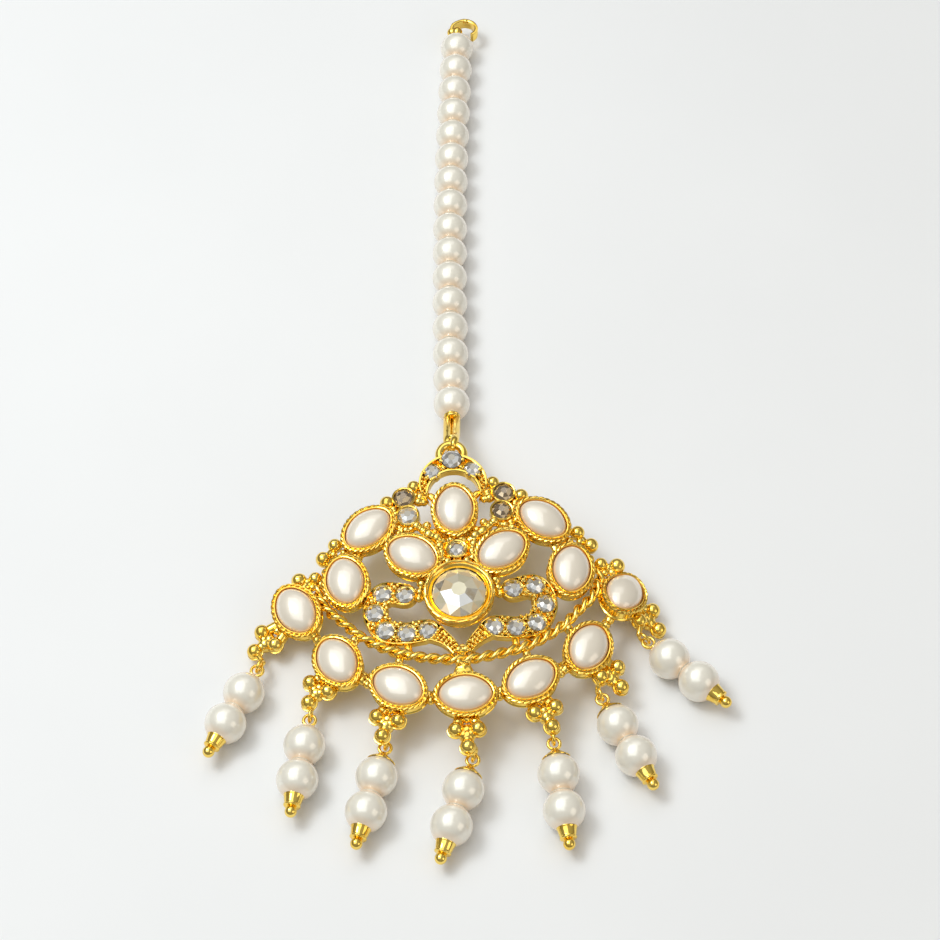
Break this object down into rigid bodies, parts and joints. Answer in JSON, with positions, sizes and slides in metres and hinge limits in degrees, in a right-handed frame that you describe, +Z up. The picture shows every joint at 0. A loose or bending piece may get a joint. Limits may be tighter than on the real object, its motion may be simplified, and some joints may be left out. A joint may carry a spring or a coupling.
{
  "type": "maang tikka (forehead jewel)",
  "caption": "Gold maang tikka with a curved openwork medallion of oval cabochons and clear stones, pearl drops along its lower edge, and a string of pearls that ends in a hair hook.",
  "frame": {"origin": "middle of the bounding box's bottom face, on the surface that the jewel lies on", "axes": "+Y along the medallion's axis towards the hook, +Z up, +X to the right"},
  "size_m": [0.0755, 0.163, 0.0108],
  "materials": {
    "gold": "polished",
    "cabochon": "pearly",
    "pearl": "pearly",
    "clear_stone": "foil-backed, faceted",
    "smoky_stone": "foil-backed, faceted"
  },
  "bodies": {
    "root": {"medallion": "gold", "cabochon_top": "cabochon", "cabochon_bottom_centre": "cabochon", "cabochon_inner_left": "cabochon", "cabochon_upper_left": "cabochon", "cabochon_middle_left": "cabochon", "cabochon_far_left": "cabochon", "cabochon_low_left": "cabochon", "cabochon_bottom_left": "cabochon", "cabochon_inner_right": "cabochon", "cabochon_upper_right": "cabochon", "cabochon_middle_right": "cabochon", "cabochon_far_right": "cabochon", "cabochon_low_right": "cabochon", "cabochon_bottom_right": "cabochon", "centre_stone": "clear_stone", "crescent_stones": "clear_stone", "smoky_stones": "smoky_stone", "paisley_stones_left": "clear_stone", "paisley_stones_right": "clear_stone", "drop_1_pearl_upper": "pearl", "drop_1_pearl_lower": "pearl", "drop_1_pin": "gold", "drop_2_pearl_upper": "pearl", "drop_2_pearl_lower": "pearl", "drop_2_pin": "gold", "drop_3_pearl_upper": "pearl", "drop_3_pearl_lower": "pearl", "drop_3_pin": "gold", "drop_4_pearl_upper": "pearl", "drop_4_pearl_lower": "pearl", "drop_4_pin": "gold", "drop_5_pearl_upper": "pearl", "drop_5_pearl_lower": "pearl", "drop_5_pin": "gold", "drop_6_pearl_upper": "pearl", "drop_6_pearl_lower": "pearl", "drop_6_pin": "gold", "drop_7_pearl_upper": "pearl", "drop_7_pearl_lower": "pearl", "drop_7_pin": "gold", "string_pearl_01": "pearl", "string_pearl_02": "pearl", "string_pearl_03": "pearl", "string_pearl_04": "pearl", "string_pearl_05": "pearl", "string_pearl_06": "pearl", "string_pearl_07": "pearl", "string_pearl_08": "pearl", "string_pearl_09": "pearl", "string_pearl_10": "pearl", "string_pearl_11": "pearl", "string_pearl_12": "pearl", "string_pearl_13": "pearl", "string_pearl_14": "pearl", "string_pearl_15": "pearl", "string_pearl_16": "pearl", "string_wire": "gold", "top_clamp": "gold", "hook": "gold"}
  },
  "joints": []
}
